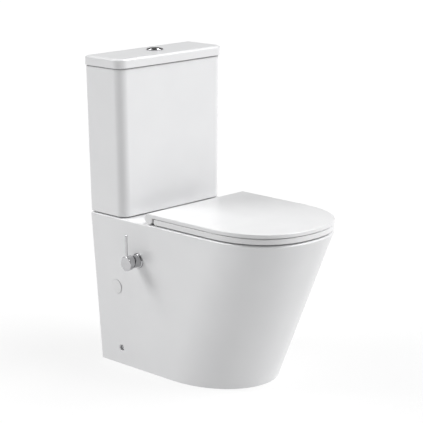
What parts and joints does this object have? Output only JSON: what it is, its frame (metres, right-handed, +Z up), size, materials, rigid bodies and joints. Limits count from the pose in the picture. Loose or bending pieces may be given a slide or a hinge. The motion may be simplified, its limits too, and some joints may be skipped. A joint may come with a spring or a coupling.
{
  "type": "close coupled toilet",
  "caption": "Back-to-wall close coupled toilet: skirted D-shaped pan, slim cistern with dual flush button, hinged seat and lid, side lever mixer for a bidet nozzle.",
  "frame": {"origin": "on the floor, against the wall, on the pan's centreline", "axes": "+Z up, -Y to the front, +X to the left hand of someone sitting; the bidet mixer is on the -X side"},
  "size_m": [0.3975, 0.629, 0.8315],
  "materials": {
    "china": "gloss glaze",
    "seat_plastic": "gloss",
    "chrome": "polished",
    "steel": "satin zinc plate",
    "brass": "machined",
    "rubber": "matt",
    "pale_rubber": "matt",
    "valve_white": "moulded",
    "valve_blue": "moulded",
    "valve_red": "moulded",
    "valve_grey": "moulded",
    "hose": "braided"
  },
  "bodies": {
    "root": {"pan": "china", "cistern_tank": "china", "cistern_lid": "china", "tank_gasket": "rubber", "tank_pads": "pale_rubber", "tank_bolts": "steel", "tank_bolt_washers": "rubber", "tank_wing_nuts": "brass", "flush_valve_base": "valve_white", "flush_valve_tower": "valve_grey", "flush_backnut": "valve_white", "rocker_pin": "steel", "button_bezel": "chrome", "bezel_nut": "valve_white", "full_button_spring": "steel", "half_button_spring": "steel", "fill_valve_body": "valve_white", "fill_valve_head": "valve_grey", "fill_shank_nut": "brass", "fill_lever_pin": "steel", "refill_tube": "pale_rubber", "hinge_posts": "chrome", "hinge_pins": "steel", "hinge_bolts": "steel", "hinge_nuts": "valve_white", "mixer_escutcheon": "chrome", "mixer_body": "chrome", "mixer_backnut": "brass", "mixer_cartridge": "valve_grey", "spray_nozzle": "chrome", "nozzle_nut": "brass", "nozzle_hose": "hose", "access_caps": "seat_plastic", "floor_brackets": "steel", "bracket_screws": "steel"},
    "seat": {"seat_ring": "seat_plastic", "seat_buffers": "pale_rubber", "seat_dampers": "valve_grey"},
    "lid": {"seat_lid": "seat_plastic", "lid_buffers": "pale_rubber", "lid_dampers": "valve_grey"},
    "full_press": {"full_flush_button": "chrome", "full_push_rod": "valve_blue"},
    "half_press": {"half_flush_button": "chrome", "half_push_rod": "valve_white"},
    "rocker": {"flush_rocker": "valve_blue"},
    "canister": {"flush_canister": "valve_red", "canister_seal": "rubber"},
    "float": {"fill_float": "valve_white"},
    "fill_arm": {"fill_lever": "valve_blue"},
    "mixer_swivel": {"mixer_ball": "chrome"},
    "mixer_grip": {"mixer_handle": "chrome", "mixer_lever": "chrome"}
  },
  "joints": [
    {"name": "seat_hinge", "type": "hinge", "parent": "root", "child": "seat", "pos_m": [0, -0.2195, 0.426], "axis": [-1, 0, 0], "range_deg": [0, 96]},
    {"name": "lid_hinge", "type": "hinge", "parent": "seat", "child": "lid", "pos_m": [0, -0.2195, 0.426], "axis": [1, 0, 0], "range_deg": [-98, 0]},
    {"name": "full_flush_press", "type": "slide", "parent": "root", "child": "full_press", "axis": [0, 0, -1], "range_m": [0, 0.008], "stiffness_N_per_m": 400, "springref_m": -0.008, "deforming": ["full_button_spring"]},
    {"name": "half_flush_press", "type": "slide", "parent": "root", "child": "half_press", "axis": [0, 0, -1], "range_m": [0, 0.008], "stiffness_N_per_m": 400, "springref_m": -0.004, "deforming": ["half_button_spring"]},
    {"name": "rocker_turn", "type": "hinge", "parent": "root", "child": "rocker", "pos_m": [0.014, -0.078, 0.666], "axis": [0, -1, 0], "range_deg": [0, 35.2]},
    {"name": "canister_lift", "type": "slide", "parent": "root", "child": "canister", "axis": [0, 0, 1], "range_m": [0, 0.0162]},
    {"name": "float_rise", "type": "slide", "parent": "root", "child": "float", "axis": [0, 0, 1], "range_m": [0, 0.012]},
    {"name": "fill_lever_turn", "type": "hinge", "parent": "root", "child": "fill_arm", "pos_m": [0.133, -0.062, 0.736], "axis": [0, 1, 0], "range_deg": [0, 22.4]},
    {"name": "mixer_turn", "type": "hinge", "parent": "root", "child": "mixer_swivel", "pos_m": [-0.196, -0.172, 0.307], "axis": [1, 0, 0], "range_deg": [-45, 45]},
    {"name": "mixer_tilt", "type": "hinge", "parent": "mixer_swivel", "child": "mixer_grip", "pos_m": [-0.196, -0.172, 0.307], "axis": [0, 1, 0], "range_deg": [0, 14]}
  ],
  "couplings": [
    {"joint": "rocker_turn", "follows": "full_flush_press", "rad_per_m": 76.5},
    {"joint": "canister_lift", "follows": "full_flush_press", "ratio": 2},
    {"joint": "fill_lever_turn", "follows": "float_rise", "rad_per_m": 32.3}
  ]
}
